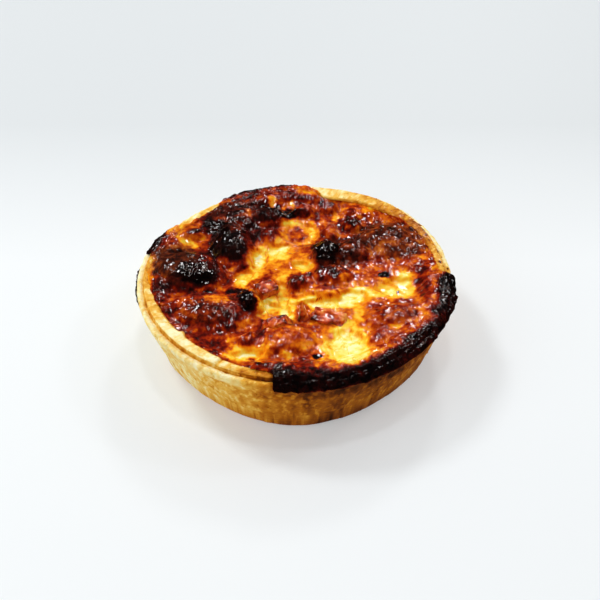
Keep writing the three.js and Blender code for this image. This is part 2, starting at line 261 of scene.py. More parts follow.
# The case's outline also shapes the filling and the custard that ran over. All sizes are in mm.
case = {
    "rim": 60.0,  # radius at the lip's outer edge
    "base": 52.6,  # radius at the foot
    "height": 28.0,
    "wallTop": 23.0,  # height at which the slanting wall ends
    "lipDrop": 1.7,  # how much lower the lip lies than the ridge inside it
    "ridge": 3.6,  # width
    "lip": 2.6,  # width, with the groove
    "wall": 5.0,  # thickness at the floor
    "floor": 4.5,  # thickness
    "foot": 2.4,  # rounding under the wall
    "columns": 660,  # of the mesh, all the way round
    # degrees and how brown the custard's oil has made the ridge there
    "glaze": [
        (-180, 0.46), (-173, 0.36), (-168, 0.28), (-160, 0.32), (-153, 0.34), (-146, 0.10), (-118, 0.16),
        (-114, 0.38), (-102, 0.50), (-96, 0.66), (-5, 0.46), (8, 0.42), (18, 0.52), (30, 0.68), (38, 0.56),
        (48, 0.42), (58, 0.38), (64, 0.33), (70, 0.27), (84, 0.22), (89, 0.5), (122, 0.50), (128, 0.30),
        (143, 0.24), (148, 0.46), (168, 0.50), (180, 0.46),
    ],
    # degrees and how far the ridge's inner edge leans in over the filling, in mm
    "foldedIn": [
        (-180, 0), (-152, 0.5), (-142, 0.8), (-125, 0.8), (-118, 0.2), (-100, 0), (22, 0), (36, 1.0),
        (50, 1.8), (60, 1.9), (66, 2.6), (72, 3.2), (77, 2.6), (80, 0.6), (83, 0), (180, 0),
    ],
    # degrees and how dark the lip is there: browned, and under the run at the front right also greased and
    # darkened with painted shadow of the overhang
    "lipBakeAndShade": [
        (-180, 0.12), (-112, 0.16), (-99, 0.50), (-93, 0.74), (-8, 0.70), (0, 0.38), (8, 0.14), (180, 0.12),
    ],
    # degrees and how dark the wall is there: its browning, with painted shade towards the front and right,
    # away from the lamps
    "wallBakeAndShade": [
        (-180, 0.16), (-165, 0.14), (-150, 0.17), (-135, 0.25), (-120, 0.33), (-105, 0.48), (-90, 0.61),
        (-75, 0.69), (-55, 0.65), (-35, 0.62), (0, 0.52), (60, 0.45), (120, 0.38), (160, 0.24), (180, 0.16),
    ],
    # burnt flecks on the ridge: centre, half widths, turn
    "burntFlecks": [
        (50, 33, 1.3, 0.6, -30), (51.2, 29, 0.6, 0.9, 0), (51.6, 26, 0.5, 1.1, 10),
        (52.4, 22.5, 0.3, 0.6, 0), (55.2, 15, 0.6, 0.8, 0), (56.5, 11.5, 0.3, 0.5, 0),
        (55.2, 8.5, 0.8, 1.4, 20), (58, 4.2, 0.6, 0.9, 0),
    ],
    # degrees, width, and how far it bends in at the rim and at the base
    "sags": [
        (137, 18, 2.5, 1.2), (112, 15, 1.0, 0.0), (52, 20, -1.7, -0.4), (6, 16, 0.8, 0.0),
        (-46, 22, 0.0, 1.1), (-132, 22, 0.0, 1.2), (-90, 20, 0.0, -1.9), (-14, 5, -0.9, 0.0),
    ],
}
ridgeOuter = case["rim"] - case["lip"]
ridgeInner = ridgeOuter - case["ridge"]
lipTop = case["height"] - case["lipDrop"]


def wallRadius(z):
    return mix(case["base"], case["rim"] - 0.7, z / case["wallTop"])


def degreesAt(x, y):  # the direction from the middle of the quiche
    return np.degrees(np.arctan2(y, x))


def readTable(degrees, table):  # a table of degrees and values
    return np.interp(degrees, *zip(*table))


def sagged(points):  # bends the round form to the uneven outline
    degrees = degreesAt(points[:, 0], points[:, 1])
    share = np.clip(points[:, 2] / case["height"], 0, 1)
    inward = np.zeros(len(points))
    for at, width, rim, base in case["sags"]:
        t = ((degrees - at + 180) % 360 - 180) / width
        inward += np.exp(-t * t) * mix(base, rim, share)
    out = points.copy()
    out[:, :2] *= (1 - inward / case["rim"])[:, None]
    return out


# Custard that ran over the rim and browned there.
runs = {
    # degrees and how far it reaches, in mm: 4 is at the ridge, 7 in the groove, 11 over the lip's edge
    "front": [
        (-106, 3.8), (-101, 5.0), (-97.4, 5.8), (-97, 12.0), (-90, 12.4), (-60, 12.6), (-40, 12.8),
        (-20, 13.2), (-6, 13.0), (-2, 12), (-1, 5.2),
    ],
    "back": [
        (-1, 5.0), (6, 4.0), (28, 3.8), (36, 3.2), (44, 2.2), (62, 1.8), (77, 1.8), (82, 5), (86, 8),
        (92, 9.5), (97, 10.6), (110, 11.4), (118, 10.4), (123, 8), (127, 5.6), (131, 4.2), (145, 4.2),
        (149, 6.4), (154, 11), (160, 12), (167, 11.2), (170, 6.4), (180, 5.6), (190, 4.6), (196, 4.0),
        (202, 3.6),
    ],
    "drip": [(174, 10.6), (178, 11.4), (182, 12.0), (188, 12.2), (192, 13.0), (194, 12.2), (197, 10.6)],
}


filling = {
    "level": 25.0,  # height of the custard, mm
    "poolDepth": 1.5,  # mm
    "rings": 146,  # of the fine mesh, one each 0.37 mm
    # lumps: centre, half widths, turn, rise, steepness
    "lumps": [
        (-41, 1, 16, 12, -12, 6.6, 1.7), (-24.5, 18, 9.8, 16, 14, 6.4, 1.4), (-25, 36, 14, 9, 22, 4, 1.3),
        (-11, 37, 9, 6.5, -8, 4.6, 1.5), (3, 41, 6.5, 5, 0, 4, 1.4), (-42, 25, 9, 4, 32, 2.6, 1.2),
        (-31, -21, 18, 10.5, -14, 4.8, 1.6), (-17, -17, 5.6, 6.6, 18, 6, 1.6),
        (37, 21, 15, 13, -20, 4.8, 1.2), (12.5, 12.5, 7, 7.5, 0, 5.6, 1.4), (23.5, 15, 9, 8, -15, 4.4, 1.1),
        (14, 0, 8.6, 6.4, -12, 3.4, 1.4), (1, -6.3, 4.4, 4, 0, 3.8, 1.8), (10.5, -10.3, 8, 3.4, -7, 2, 1.5),
        (-3.5, -36, 12, 9.5, 10, 4.0, 1.4), (37.5, -24, 13.5, 8, 6, 4, 1.6),
        (31, -34.5, 7.5, 5, 20, 3, 1.4), (-16.5, -36.5, 4.8, 4.6, 0, 2.6, 1.4),
        (23, 31.5, 4.6, 4.4, 0, 4.2, 1.7), (13.5, 44, 5, 4.5, 0, 3, 1.4), (26, 41, 8, 5.5, -25, 2.4, 1.1),
        (14, 28, 3.6, 6, 0, 2.8, 1.4), (2, 26.5, 5, 5, 0, 1.6, 1.2), (-10.5, 25, 5, 6, 0, 2.6, 1.2),
        (46, 8, 7, 7, 0, 2, 1.2),
    ],
    # pools of bare custard: centre, half widths, turn
    "pools": [
        (-20, 0.5, 5.5, 3.6, 35), (-14, 10, 3.6, 8.5, -8), (-6, 16.5, 7.5, 4.5, 10), (2.5, 27, 8.5, 9.5, 0),
        (3, 6, 4.6, 3.6, -25), (-4.5, -11, 3.2, 9, 5), (-7, -19, 7.5, 3.8, -28), (8, -16, 10, 3, 6),
        (20.5, -13, 7.5, 6, 25), (38.5, -6.5, 10, 6.5, 0), (18, -38.5, 8.5, 10, 12),
        (-17, -43.2, 6.5, 2.8, 5),
    ],
    # painted one patch over the last: centre, half widths, turn, browning (0 pale, 1 char), softness
    "patches": [
        # left dome
        (-42, 4, 16, 14, 0, 0.78, 0.4), (-38, 0.5, 12, 9, -10, 0.98, 0.9), (-49, 9.5, 9, 9, 0, 0.79, 0.8),
        (-52, 3, 3, 8, 0, 0.72, 0.8), (-46, -7, 10, 5, 0, 0.83, 0.7), (-49, -12.5, 4, 4, 0, 0.75, 0.8),
        (-26, -2, 3.5, 9, 10, 0.66, 0.8), (-47, 25, 8, 6, 20, 0.58, 0.6), (-43, 24, 6, 4, -30, 0.42, 1.0),
        (-42.5, 20.5, 7, 2.4, -38, 0.17, 1.0), (-40, 28.5, 3.8, 2.4, 20, 0.84, 1.0),
        (-48, 30, 7, 3, 40, 0.38, 0.8), (-42, 36, 7, 2.6, 42, 0.42, 0.8), (-37, 36.5, 4, 3, 0, 0.74, 0.8),
        (-55.5, 2, 2.6, 17, 0, 0.42, 0.8),
        # the hump like a nose and what lies round it
        (-22, 26, 10, 15, 0, 0.88, 0.5), (-27.5, 21, 9, 14, 6, 0.98, 0.6),
        (-32.5, 31.5, 6.5, 5.5, 0, 0.99, 0.7), (-23, 12, 8, 9, -20, 0.92, 0.7),
        (-19.5, 26, 3.5, 10, 0, 0.84, 0.8), (-22, 6, 7, 4.5, -20, 0.72, 0.8),
        (-27, 8, 6, 2.6, -48, 0.60, 0.9), (-18.6, 13, 1.6, 10, -6, 0.62, 0.9),
        (-24, 1.5, 6, 2.4, -52, 0.46, 0.9), (-36.6, 29, 1.4, 4, -10, 0.80, 0.9),
        (-23.5, 31, 4, 5, 0, 0.76, 1.0),
        # back left
        (-28, 44, 11, 7, 30, 0.84, 0.5), (-32, 48, 7, 2.4, 34, 0.62, 0.8), (-22, 49, 7, 2.4, 20, 0.68, 0.8),
        (-13, 45, 9, 6, 0, 0.84, 0.6), (-12, 39, 7, 6, 0, 0.86, 0.7), (-19.5, 41, 1.8, 5, 20, 0.52, 0.9),
        (-17, 54, 10, 3.5, 15, 0.70, 0.8), (-3, 41, 6, 4.4, 0, 0.98, 0.6), (3, 41, 4.4, 4, 0, 0.82, 0.7),
        (-10, 28, 5, 7, 0, 0.74, 0.7), (-14, 22, 3, 4, 0, 0.66, 0.8), (-4, 54, 9, 6, 0, 0.71, 0.7),
        (-10, 49.4, 2.6, 5.6, 6, 0.22, 1.0), (-1.2, 48, 1.6, 3.5, 0, 0.30, 1.0),
        (-10, 44, 3, 2, 0, 0.90, 0.8), (6, 56.5, 7, 3.5, 0, 0.50, 0.8),
        # back right
        (3, 50, 5, 5, 0, 0.69, 0.6), (12.5, 47, 4.4, 4.4, 0, 0.76, 0.7), (17, 51, 8, 3, 0, 0.52, 0.8),
        (27, 47, 10, 4, -14, 0.44, 0.8), (30, 44, 6, 4, 0, 0.40, 0.9), (24, 43.5, 4, 4, 0, 0.62, 0.8),
        (40.5, 43.5, 9, 3.2, -46, 0.31, 0.8), (12.5, 42, 3.5, 4, 0, 0.60, 0.7),
        (16, 38.5, 2.4, 5, 0, 0.31, 1.0), (8.4, 38, 2, 8, 0, 0.74, 0.8), (14.5, 31, 2.4, 6, 0, 0.61, 0.8),
        (11, 29, 1.6, 5, 0, 0.70, 0.8), (18.5, 33, 2.2, 6, 0, 0.79, 0.7),
        (23.5, 35.5, 4.4, 5, 0, 0.84, 0.6), (28, 37, 2.4, 4, 0, 0.56, 0.9),
        # right hump
        (38, 23, 18, 14, -15, 0.68, 0.5), (31, 31, 6, 5, 0, 0.70, 0.8), (37, 28, 7, 4, 0, 0.78, 0.8),
        (38, 21, 7, 3, 0, 0.62, 0.8), (47, 25, 4, 11, 15, 0.66, 0.8), (43, 15, 6, 4, 0, 0.70, 0.8),
        (37, 8, 7, 4, 0, 0.50, 0.9), (51, 12, 3.4, 10, 5, 0.56, 0.8), (48, 5, 5, 5, 0, 0.72, 0.8),
        (46, 11, 3, 3, 0, 0.52, 1.0),
        # charred lump and the ridges by it
        (17, 14, 12, 12, 0, 0.80, 0.5), (11.8, 15.5, 6.5, 8, 0, 0.99, 0.6), (24, 21, 6, 6, 0, 0.82, 0.7),
        (20, 18, 3, 2.4, -20, 0.66, 1.0), (27, 14, 5, 6, 0, 0.74, 0.8), (32, 12, 4, 7, -10, 0.52, 0.8),
        (13, 4, 6.5, 6, 0, 0.82, 0.7), (11.5, -1, 4, 4, 0, 0.74, 0.7), (20, 6, 6, 4, 0, 0.68, 0.8),
        (28, 7, 6, 4, 0, 0.58, 0.9), (21.5, 27.5, 2, 3, 0, 0.60, 1.0), (6.6, 13, 2, 9, 0, 0.68, 0.8),
        # ring of custard and its island
        (1, 28.5, 9, 10, 0, 0.29, 0.6), (6.6, 28, 2, 6, 0, 0.15, 0.9), (-2, 34, 4, 2.4, 0, 0.20, 0.9),
        (0.2, 26.5, 5.2, 6.8, 0, 0.61, 0.8), (-4.6, 25.5, 2.2, 5, 0, 0.36, 0.9),
        (-1.5, 21, 4, 2, 0, 0.42, 0.9), (4.6, 21.5, 3, 2.4, 0, 0.28, 1.0),
        # left channel
        (-13.5, 10, 6, 11, -4, 0.20, 0.6), (-14.5, 11, 3, 9, -4, 0.02, 1.0),
        (-6.5, 16, 7, 4.4, 15, 0.05, 0.9), (-11.3, 19.5, 2.6, 3, 0, 0.40, 1.0),
        (-7, 22, 1.8, 5, 0, 0.16, 1.0), (-18, 0, 7, 5, 40, 0.17, 0.8), (-20.5, -4, 3.4, 3, 0, 0.08, 1.0),
        # the middle
        (-5, 5, 9, 7, 0, 0.44, 0.7), (1, 13, 6, 6, 0, 0.38, 0.8), (4, 17, 2.6, 4, 0, 0.56, 0.9),
        (-10, 0.5, 5, 3.4, 20, 0.55, 0.9), (-14.5, -3.5, 6, 2.4, 35, 0.54, 0.9),
        (2.6, 6.4, 4.2, 3.8, -15, 0.08, 1.0), (-6, 12, 5, 3, 0, 0.14, 1.0), (-4.6, -6, 3, 11, 0, 0.24, 0.8),
        (-12, -8, 4.4, 6, 0, 0.56, 0.6), (0.6, -3.5, 5, 6.5, 0, 0.66, 0.6),
        (0.6, -3.6, 3.8, 5, 0, 0.80, 0.7), (5, -1, 2.6, 5, 0, 0.70, 0.8),
        # cross pool
        (-5, -16, 7, 5, 0, 0.14, 0.7), (-11, -17, 4, 6, 0, 0.05, 0.9), (-3, -21.5, 4, 5, 0, 0.06, 0.9),
        (13, -14.5, 14, 5.5, 2, 0.05, 0.6), (23, -10, 6, 6, 0, 0.03, 0.9),
        (9.8, -9.6, 8.4, 3.4, -8, 0.42, 0.6), (12, -7, 6, 1.8, -8, 0.62, 0.8), (3, -10, 3, 2, 0, 0.30, 1.0),
        (22.8, -21, 2.4, 8, 0, 0.20, 0.9), (8.7, -13.4, 0.9, 0.8, 0, 0.66, 0.9),
        (29, -11, 4, 3, 0, 0.16, 1.0),
        # right of the middle
        (24, -3, 8, 4.4, 0, 0.50, 0.6), (18.5, 0, 2.4, 2.4, 0, 0.34, 1.0), (38, -7, 10, 7, 0, 0.22, 0.6),
        (38, -9.8, 7.5, 3, 0, 0.10, 0.9), (41, -2, 4, 6, 0, 0.10, 0.9), (48, -6, 4, 8, 0, 0.68, 0.6),
        # ham strip and spike
        (13, -23.5, 9, 5, 0, 0.54, 0.5), (17, -20.3, 6, 1.3, -3, 0.42, 0.9),
        (9, -27, 5, 2.8, -20, 0.52, 0.8), (2.5, -21, 3.4, 6.5, 0, 0.56, 0.6),
        # front pool
        (18, -37.5, 9.5, 12, 5, 0.10, 0.5), (18, -37, 6, 8, 10, 0.02, 1.0),
        (18.5, -27.5, 4.4, 5, 0, 0.19, 0.9), (11.5, -33, 3, 4, 20, 0.26, 0.9),
        (16.5, -48.5, 5, 2, 0, 0.36, 0.9), (27, -39, 2.4, 6, 0, 0.34, 0.9),
        # right front mound
        (38, -21, 14, 8, 0, 0.60, 0.5), (46.5, -21, 3.6, 6, 0, 0.34, 1.0), (30, -19, 5, 3, 0, 0.68, 1.0),
        (39, -25, 5, 3, 0, 0.56, 1.0), (28.5, -24, 3, 5, 0, 0.46, 0.9), (32, -34, 8, 6.5, 0, 0.56, 0.5),
        (36, -28.5, 4, 2, 0, 0.38, 1.0), (31, -40.5, 7, 3, 30, 0.38, 0.9), (25, -28, 2.4, 2, 0, 0.40, 1.0),
        # front mound
        (-3, -33, 9, 8.5, 0, 0.50, 0.5), (-12, -30, 2.4, 6, 0, 0.70, 0.8), (-7, -26, 5, 2.6, 0, 0.62, 0.8),
        (-5, -33, 3, 3, 0, 0.38, 1.0), (-8, -41, 3, 3, 0, 0.64, 0.8), (2, -28.5, 6, 1.4, -14, 0.66, 0.9),
        (-3.6, -43, 3.6, 3, 0, 0.34, 0.9), (3, -38, 5, 4, 0, 0.42, 0.8), (8, -35, 2.4, 5, 30, 0.32, 0.9),
        (7.5, -46, 3.4, 3, 0, 0.38, 0.9), (1, -31, 3, 3, 0, 0.44, 1.0),
        # front left
        (-32, -22, 19, 15, 0, 0.73, 0.5), (-26, -21, 8, 6.5, 0, 0.78, 0.9),
        (-40, -28, 12, 4, -42, 0.68, 0.8), (-29, -37, 10, 4, -38, 0.76, 0.8),
        (-42.5, -13, 4, 3.4, 0, 0.54, 1.0), (-41, -18, 3, 5, 0, 0.54, 1.0),
        (-29, -13, 5.4, 3.4, 0, 0.40, 0.9), (-37, -23, 3, 2.4, 0, 0.56, 1.0),
        (-33, -9, 6, 2.2, 0, 0.70, 0.9), (-32.4, -9.5, 1.3, 1, 0, 0.98, 0.8),
        (-17.3, -14, 4.2, 7.6, 12, 0.99, 0.6), (-22, -9, 5, 2.4, 0, 0.94, 0.8),
        (-17, -22.5, 3, 2.6, 0, 0.74, 0.9), (-18.5, -27.5, 4, 3.6, 0, 0.40, 0.9),
        (-12, -23, 1.6, 2, 0, 0.34, 1.0), (-22, -37, 3, 4.4, 0, 0.46, 0.9),
        (-16, -36.5, 4.4, 4.6, 0, 0.66, 0.7), (-16.5, -42.6, 7.5, 3.6, 0, 0.12, 0.7),
        (-17, -43.4, 5, 2, 0, 0.0, 1.0), (-10.8, -39.5, 2, 5, -15, 0.16, 0.9),
        (-20.5, -40, 1.8, 3, 0, 0.18, 1.0), (-11, -49, 8, 3, -12, 0.74, 0.8),
        (-5, -48, 6, 2.6, -5, 0.72, 0.8), (2, -49, 6, 5, 0, 0.70, 0.6), (5.5, -52, 4, 3, 0, 0.76, 0.8),
        (-17, -47.6, 5, 1.2, -14, 0.50, 0.9),
        # burnt specks
        (33.3, 0.4, 2.6, 2.2, 0, 0.99, 0.4), (7.5, -43.9, 1.8, 1.6, 0, 1.0, 0.4),
        (38.2, -9.5, 0.5, 0.8, 0, 0.9, 0.9),
    ],
    # dry brown crust, duller than the oily skin: centre, half widths, turn, dryness
    "dryPatches": [
        (-47, 9, 12, 12, 0, 1.0), (-46, 29, 9, 6, 0, 0.3), (-42, -2, 10, 4, 0, 0.5),
        (38, 23, 18, 14, -15, 0.75), (16, 14, 12, 12, 0, 0.6), (-25, 42, 14, 9, 20, 0.5),
        (-33, -20, 12, 8, 0, 0.35), (-11, -8, 5, 5, 0, 0.7), (-26, 24, 6, 14, 0, 0.6),
        (38, -22, 8, 5, 0, 0.3), (-13, 44, 8, 6, 0, 0.4),
    ],
    # skin without butter on it: centre, half widths, turn
    "dull": [
        (-46, 13, 7, 5, 0), (26, 48, 14, 7, -15), (41, 40, 9, 5, -46), (-40, 34, 12, 4, 42),
        (-27, -8, 3, 8, 0), (-24, 8, 6, 6, 0), (-30, -37, 11, 4.6, -38), (-23, 13, 5, 7, 0),
        (-13, 39, 6, 5, 0), (-1, -55, 7, 4, 0), (-28, 17, 6, 5, 0), (-40, -7, 11, 4, -8),
        (36, -14, 5, 2, 0), (3, -50, 8, 4, -20), (31, 2, 7, 5, 0),
    ],
    # where the char by the rim begins: degrees and radius
    "charEdge": [
        (-183, 63), (-166, 63), (-160, 63), (-110, 62), (-99, 51), (-93, 48.3), (-84, 49.5), (-77, 52),
        (-61, 51.5), (-46, 51.7), (-38, 51.5), (-33, 53.2), (-27, 54.8), (-16, 53.6), (-8, 52.6),
        (-2, 53.6), (3, 57.6), (10, 64), (86, 64), (93, 61.5), (100, 60.4), (112, 59.6), (122, 59.8),
        (128, 62), (148, 62), (153, 57.5), (160, 56.5), (167, 57), (171, 63), (177, 63),
    ],
    # clear red places in that char: centre, half widths, turn
    "clear": [(1.6, -48.8, 3.4, 2.8, -20), (5.6, -51.2, 4, 2, -25)],
}


def discGrid(rings, radius):  # rings of quads from a square grid drawn out to a disc
    line = np.linspace(-1, 1, 2 * rings + 1)
    u, v = [a.ravel() for a in np.meshgrid(line, line)]
    r = np.maximum(abs(u), abs(v))
    wide = abs(u) >= abs(v)
    a = np.where(wide, math.pi / 4 * v / np.where(u == 0, 1, u),
                 math.pi / 2 - math.pi / 4 * u / np.where(v == 0, 1, v))
    side = np.where(wide, np.sign(u), np.sign(v))
    x, y = side * r * np.cos(a) * radius, side * r * np.sin(a) * radius
    return x, y, r


slant = 1.17  # how many mm further back a point looks for each mm that it is higher


def laidFlat(y, z):  # patches of browning lie where they show from the front and above
    return y + slant * (z - filling["level"])


def heightAt(x, y):  # the surface without its fine skin, how bare the custard is, and how high it has risen
    rise = np.zeros_like(x)
    x, y = x + rough(flat(x, y), 5, 2, 41) * 1.2, y + rough(flat(x, y), 5, 2, 43) * 1.2
    for lump in filling["lumps"]:
        swell = lump[5] * (1 - (1 - insideOval(x, y, lump)) ** lump[6]) ** 1.5
        rise = np.cbrt(rise ** 3 + swell ** 3)
    bare = np.zeros_like(x)
    for pool in filling["pools"]:
        bare = np.maximum(bare, smooth(0, 0.7, insideOval(x, y, pool)))
    height = filling["level"] + rise * (1 - 0.6 * bare) - filling["poolDepth"] * bare
    return height, bare, rise


def browningAt(x, y, z):
    yFront = laidFlat(y, z)
    p = flat(x, yFront)
    wx = x + rough(p, 4.5, 4, 11)  # ragged borders
    wy = yFront + rough(p, 4.5, 4, 29)
    browning = np.full_like(x, 0.54)
    for patch in filling["patches"]:
        if patch[5] < 0.16:  # pale custard has an orange border where the skin thins
            around = patch[:2] + (patch[2] * 1.3 + 0.8, patch[3] * 1.3 + 0.8, patch[4])
            orange = mix(browning, 0.32, 0.8 * smooth(0, 0.8, insideOval(wx, wy, around)))
            browning = np.minimum(browning, orange)
        share = smooth(0, patch[6], insideOval(wx, wy, patch))
        browning = mix(browning, patch[5], share)
    degrees = degreesAt(wx, wy)
    edge = readTable(degrees, filling["charEdge"])
    burnt = smooth(-2.4, 1.4, np.hypot(wx, wy) - edge)
    for window in filling["clear"]:
        burnt *= 1 - smooth(0, 0.6, insideOval(wx, wy, window))
    charred = 0.97 - 0.08 * smooth(-62, -45, degrees) * smooth(-6, -14, degrees)  # less on the right
    browning = mix(browning, charred, burnt)
    dry = np.zeros_like(x)
    for patch in filling["dryPatches"]:
        dry = mix(dry, patch[5], smooth(0, 0.6, insideOval(wx, wy, patch)))
    return browning, dry


def skinRelief(points, browning):  # blisters and wrinkles of the browned skin in mm, and its puffs
    bent = points + np.stack([rough(points, 3.0, 2, s) for s in (3, 5, 7)], axis=1) * 0.8
    big, _ = cells(bent, 3.6, 1)
    small, _ = cells(bent * np.array([1.3, 0.85, 1]), 1.5, 2)
    # puffs colour the skin, and swell shapes it
    puffs = (1 - big ** 2) * 0.55 + (1 - small ** 2) * 0.45
    swell = (1 - big ** 2) * 0.72 + (1 - small ** 2) * 0.30
    folds = 0.5 - abs(rough(bent, 3.6, 2, 9))
    wrinkles = 0.4 - np.sqrt(rough(points * np.array([1, 0.8, 1]), 2.1, 1, 23) ** 2 + 0.03)
    skin = smooth(0.15, 0.55, browning)
    char = smooth(0.7, 0.95, browning)
    relief = (swell - 0.70) * (0.8 + 0.3 * char) + folds * 0.36 + wrinkles * 0.34
    around = degreesAt(points[:, 0], points[:, 1])
    radius = np.hypot(points[:, 0], points[:, 1])
    ropes = rough(np.stack([around * 0.28, radius, points[:, 2]], axis=1), 1.7, 3, 33) * 0.42  # by the rim
    relief = mix(relief, relief * 0.6 + ropes, smooth(50, 53, radius) * char)
    return relief * skin + rough(points, 4, 4, 77) * 0.2 * (1 - skin), puffs


def browned(browning, puffs, points):  # mottles the browning finely
    skin = smooth(0.12, 0.4, browning)
    mottle = rough(points, 3.4, 3, 61) * 0.15 + (puffs - 0.7) * 0.36
    veins = smooth(0.14, 0.0, abs(rough(points, 6.5, 4, 71))) * (1 - skin)
    quiet = rough(points * np.array([1, 1.6, 1]), 3.4, 4, 73) * 0.08
    calmer = 1 - 0.75 * smooth(0.72, 0.95, browning)  # char is even
    return np.clip(browning + mottle * skin * calmer + quiet + veins * 0.12, 0, 1)


def wetness(points, dry):  # butter stands in some places more than in others
    pooled = 0.6 + 0.4 * smooth(-0.45, 0.35, rough(points, 6.5, 3, 83))
    y = laidFlat(points[:, 1], points[:, 2])
    for place in filling["dull"]:
        pooled *= 1 - 0.8 * smooth(0, 0.6, insideOval(points[:, 0], y, place))
    return pooled * (1 - 0.2 * dry)


def overRim(degrees):  # 1 where custard has run on over the ridge
    out = np.zeros_like(degrees)
    for name in ("front", "back"):
        at, reach = zip(*runs[name])
        wrapped = (degrees - at[0] + 5) % 360 + at[0] - 5  # counted on from 5 degrees before its start
        out = np.maximum(out, smooth(2.4, 5, np.interp(wrapped, at, reach, 0, 0)))
    return out


def makeFilling(material):
    rings = filling["rings"]
    brim = ridgeInner - 0.4
    x, y, edge = discGrid(rings, brim)
    top = sagged(flat(x, y, case["height"] - 2))
    x, y = top[:, 0], top[:, 1]
    height, bare, rise = heightAt(x, y)
    # the custard climbs a little at the case, and up to the ridge's top where it ran over
    uneven = rough(flat(x, y), 6, 2, 51)
    height = mix(height, np.maximum(height, filling["level"] + 1.5 + 0.5 * uneven), smooth(0.88, 1, edge))
    over = overRim(degreesAt(x, y))
    height = mix(height, np.maximum(height, case["height"] + 0.25), over * smooth(0.84, 0.985, edge))
    base, dry = browningAt(x, y, height)
    points = np.stack([x, y, height], axis=1)
    relief, puffs = skinRelief(points, base)
    calm = smooth(1.6, 0.2, rise) * smooth(0.95, 0.88, edge)  # flat places are calmer
    points[:, 2] += relief * (1 - 0.8 * smooth(0.97, 1, edge)) * (1 - 0.5 * calm)
    # the slope makes bare custard browner below, as painted warm shade
    step = 0.35  # mm
    slope = np.hypot(heightAt(x + step, y)[0] - heightAt(x - step, y)[0],
                     heightAt(x, y + step)[0] - heightAt(x, y - step)[0]) / (2 * step)
    base += 0.14 * smooth(0.12, 1.0, slope) * smooth(0.4, 0.15, base)  # browner on the slopes of bare custard: painted warm shade where slopes fall into shade
    browning = browned(base, puffs, points)
    # it is browned where it meets the case
    browning = mix(browning, np.maximum(browning, 0.55), smooth(0.97, 0.995, edge) * (1 - over))
    here = smooth(0.1, 0.6, rough(points, 7, 2, 85) + 0.2)
    blistered = smooth(0.4, 0.6, browning) * smooth(0.96, 0.92, edge) * here

    n = 2 * rings + 1
    faces = gridFaces(n, n, False)
    rim = gridEdge(n, n)
    low = points[rim] * np.array([0.86, 0.86, 0])  # the sides slant in to the case's floor
    low[:, 2] = case["floor"] + 0.3
    start, count = len(points), len(rim)
    points = np.vstack([points, low])
    browning = np.concatenate([browning, np.full(count, 0.3)])
    dry = np.concatenate([dry, np.zeros(count)])
    blistered = np.concatenate([blistered, np.zeros(count)])
    side = list(loopFaces(rim, start + np.arange(count)))
    bottom = [list(range(start + count - 1, start - 1, -1))]
    gloss = wetness(points, dry) * mix(0.35, 1, smooth(0.1, 0.4, browning))
    addPiece("filling_skin", points, list(faces) + side + bottom, material, ["filling"],
             {"browning": browning, "dry": dry, "blistered": blistered, "gloss": gloss})


